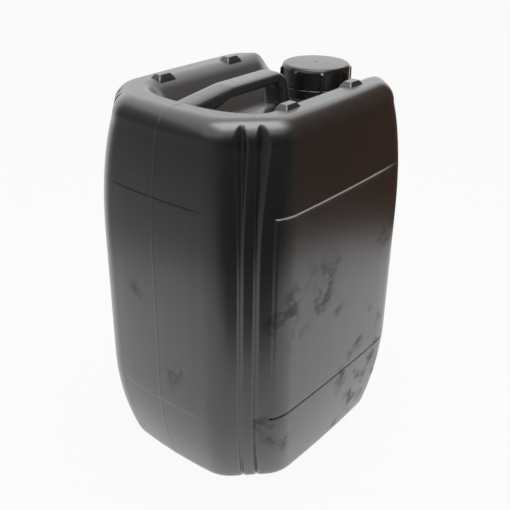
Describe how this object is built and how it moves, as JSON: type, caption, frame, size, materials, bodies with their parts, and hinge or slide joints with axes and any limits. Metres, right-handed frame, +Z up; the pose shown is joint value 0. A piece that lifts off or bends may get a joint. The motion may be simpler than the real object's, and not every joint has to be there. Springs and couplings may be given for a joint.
{
  "type": "plastic jerrycan",
  "caption": "Black stackable blow-moulded jerrycan with an integral top handle, ribbed corners, stacking lugs and a finned screw cap over a threaded neck.",
  "frame": {"origin": "on the floor, under the middle of the canister's length and width", "axes": "+Z up; +X along the handle, towards the neck and cap; the long sides face -Y and +Y"},
  "size_m": [0.2922, 0.233, 0.3918],
  "materials": {
    "canister_plastic": "satin black blow-moulded polyethylene, lightly scuffed",
    "cap_plastic": "smoother black injection-moulded plastic",
    "ring_plastic": "smoother black injection-moulded plastic",
    "liner_foam": "off-white closed-cell foam"
  },
  "bodies": {
    "canister": {"canister": "canister_plastic", "tamper_ring": "ring_plastic"},
    "liner": {"sealing_liner": "liner_foam"},
    "cap": {"screw_cap": "cap_plastic"}
  },
  "joints": [
    {"name": "cap_lift", "type": "slide", "parent": "canister", "child": "liner", "axis": [0, 0, 1], "range_m": [0, 0.0181]},
    {"name": "cap_turn", "type": "hinge", "parent": "liner", "child": "cap", "pos_m": [0.1005, 0, 0.365], "axis": [0, 0, 1], "range_deg": [0, 1080]}
  ],
  "couplings": [
    {"joint": "cap_lift", "follows": "cap_turn", "m_per_rad": 0.00095493}
  ]
}
